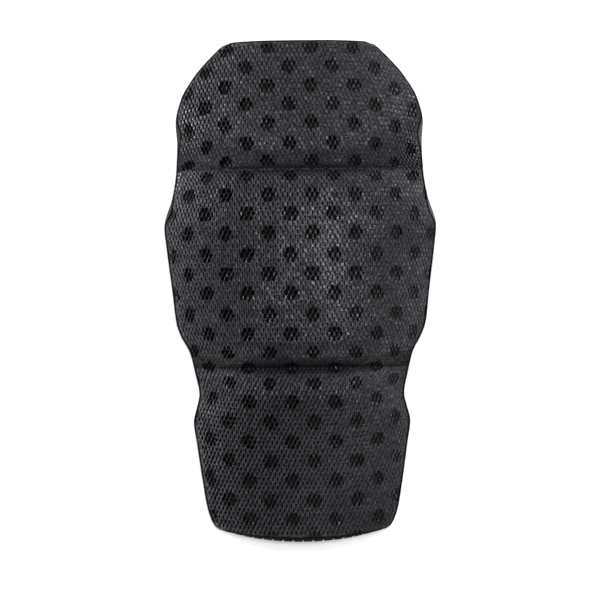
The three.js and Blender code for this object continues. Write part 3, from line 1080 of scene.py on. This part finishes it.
foam = make_foam()
skin = make_skin()
net = make_net()

for piece, node, slot, material in (
    (foam, "foam_core", "foam", foam_material()),
    (skin, "back_skin", "skin", skin_material()),
    (net, "mesh_cover", "net", net_material()),
):
    piece.data.materials.append(material)
    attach(piece, "root")
    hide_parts(node)

# Floor and light, in metres and watts: place, size and power of each light, and where the walls end
# and the ceiling starts, with their colours
FLOOR_SIZE = 3.0
FLOOR_HEIGHT = -0.0002
FLOOR_BROAD_SCALE = 3.0
FLOOR_COLOURS = [(0.3, (0.90, 0.90, 0.90)), (0.7, (0.93, 0.93, 0.93))]
FLOOR_ROUGHNESS = 0.9
FLOOR_SHINE = 0.1
LIGHTS_AIM = (0.0, 0.0, 0.015)
LIGHTS = {
    "front": ((0.15, 0.18, 1.75), (0.5, 0.5), 17.8),
    "top": ((0.0, 0.85, 1.35), (0.6, 0.4), 5.0),
    "top_low": ((0.0, 1.3, 0.55), (0.8, 0.3), 1.2),
    "right": ((0.70, 0.60, 1.25), (0.5, 0.5), 3.4),
    "right_low": ((1.2, 0.70, 0.45), (0.3, 0.6), 3.2),
    "left_low": ((-1.2, 0.60, 0.45), (0.15, 0.6), 9.0),
    "bottom": ((0.0, -1.3, 0.6), (0.8, 0.3), 2.0),
}
WALL_STRENGTH = 2.7
WALL_SLANT = (-0.35, 0.35, 0.0)
WALL_TOP = (0.15, (0.9, 0.9, 0.9, 1))
CEILING = (0.75, (0.06, 0.06, 0.06, 1))


def make_floor():
    mesh = bpy.data.meshes.new("floor")
    square = ((-1, -1), (1, -1), (1, 1), (-1, 1))
    corners = [(x * FLOOR_SIZE, y * FLOOR_SIZE, FLOOR_HEIGHT) for x, y in square]
    mesh.from_pydata(corners, [], [(0, 1, 2, 3)])
    floor = placed(mesh)
    m = Nodes("pale_floor")
    colour = m.ramp(m.noise(FLOOR_BROAD_SCALE, 2.0), FLOOR_COLOURS)
    m.join(colour, m.shader.inputs["Base Color"])
    m.shader.inputs["Roughness"].default_value = FLOOR_ROUGHNESS
    m.shader.inputs["Specular IOR Level"].default_value = FLOOR_SHINE
    mesh.materials.append(m.material)


def add_light(name, place, size, power):
    data = bpy.data.lights.new(name, "AREA")
    data.shape = "RECTANGLE"
    data.size, data.size_y = size
    data.energy = power
    light = bpy.data.objects.new(name, data)
    light.location = place
    light.rotation_euler = (Vector(LIGHTS_AIM) - Vector(place)).to_track_quat("-Z", "Y").to_euler()
    bpy.context.scene.collection.objects.link(light)


def make_world():
    """Pale walls all round under a dim ceiling, palest towards the thigh's left."""
    world = bpy.data.worlds.new("studio")
    world.use_nodes = True
    tree = world.node_tree
    place = tree.nodes.new("ShaderNodeTexCoord")
    axes = tree.nodes.new("ShaderNodeSeparateXYZ")
    ramp = tree.nodes.new("ShaderNodeValToRGB")
    for element, stop in zip(ramp.color_ramp.elements, (WALL_TOP, CEILING)):
        element.position, element.color = stop
    tree.links.new(place.outputs["Generated"], axes.inputs["Vector"])
    tree.links.new(axes.outputs["Z"], ramp.inputs["Fac"])
    tree.links.new(ramp.outputs["Color"], tree.nodes["Background"].inputs["Color"])
    slant = tree.nodes.new("ShaderNodeVectorMath")
    slant.operation = "DOT_PRODUCT"
    slant.inputs[1].default_value = WALL_SLANT
    strength = tree.nodes.new("ShaderNodeMapRange")
    strength.inputs["From Min"].default_value = -1.0
    strength.inputs["To Max"].default_value = 2 * WALL_STRENGTH
    tree.links.new(place.outputs["Generated"], slant.inputs[0])
    tree.links.new(slant.outputs["Value"], strength.inputs["Value"])
    tree.links.new(strength.outputs["Result"], tree.nodes["Background"].inputs["Strength"])
    bpy.context.scene.world = world


make_floor()
for light_name, settings in LIGHTS.items():
    add_light(light_name, *settings)
make_world()

# The camera looks straight down on the front, a little turned, as in the photo
SENSOR_WIDTH = 36.0
CAMERA_HEIGHT = 1.464
FRAME_WIDTH = 0.36
CAMERA_X = -0.00055
CAMERA_Y = -0.0054
CAMERA_ROLL = math.radians(-0.55)
camera_data = bpy.data.cameras.new("camera")
camera_data.sensor_width = SENSOR_WIDTH
camera_data.lens = SENSOR_WIDTH * CAMERA_HEIGHT / FRAME_WIDTH
camera = bpy.data.objects.new("camera", camera_data)
camera.location = (CAMERA_X, CAMERA_Y, CAMERA_HEIGHT)
camera.rotation_euler = (0.0, 0.0, CAMERA_ROLL)
bpy.context.scene.collection.objects.link(camera)
bpy.context.scene.camera = camera
bpy.context.scene.view_settings.view_transform = "Standard"
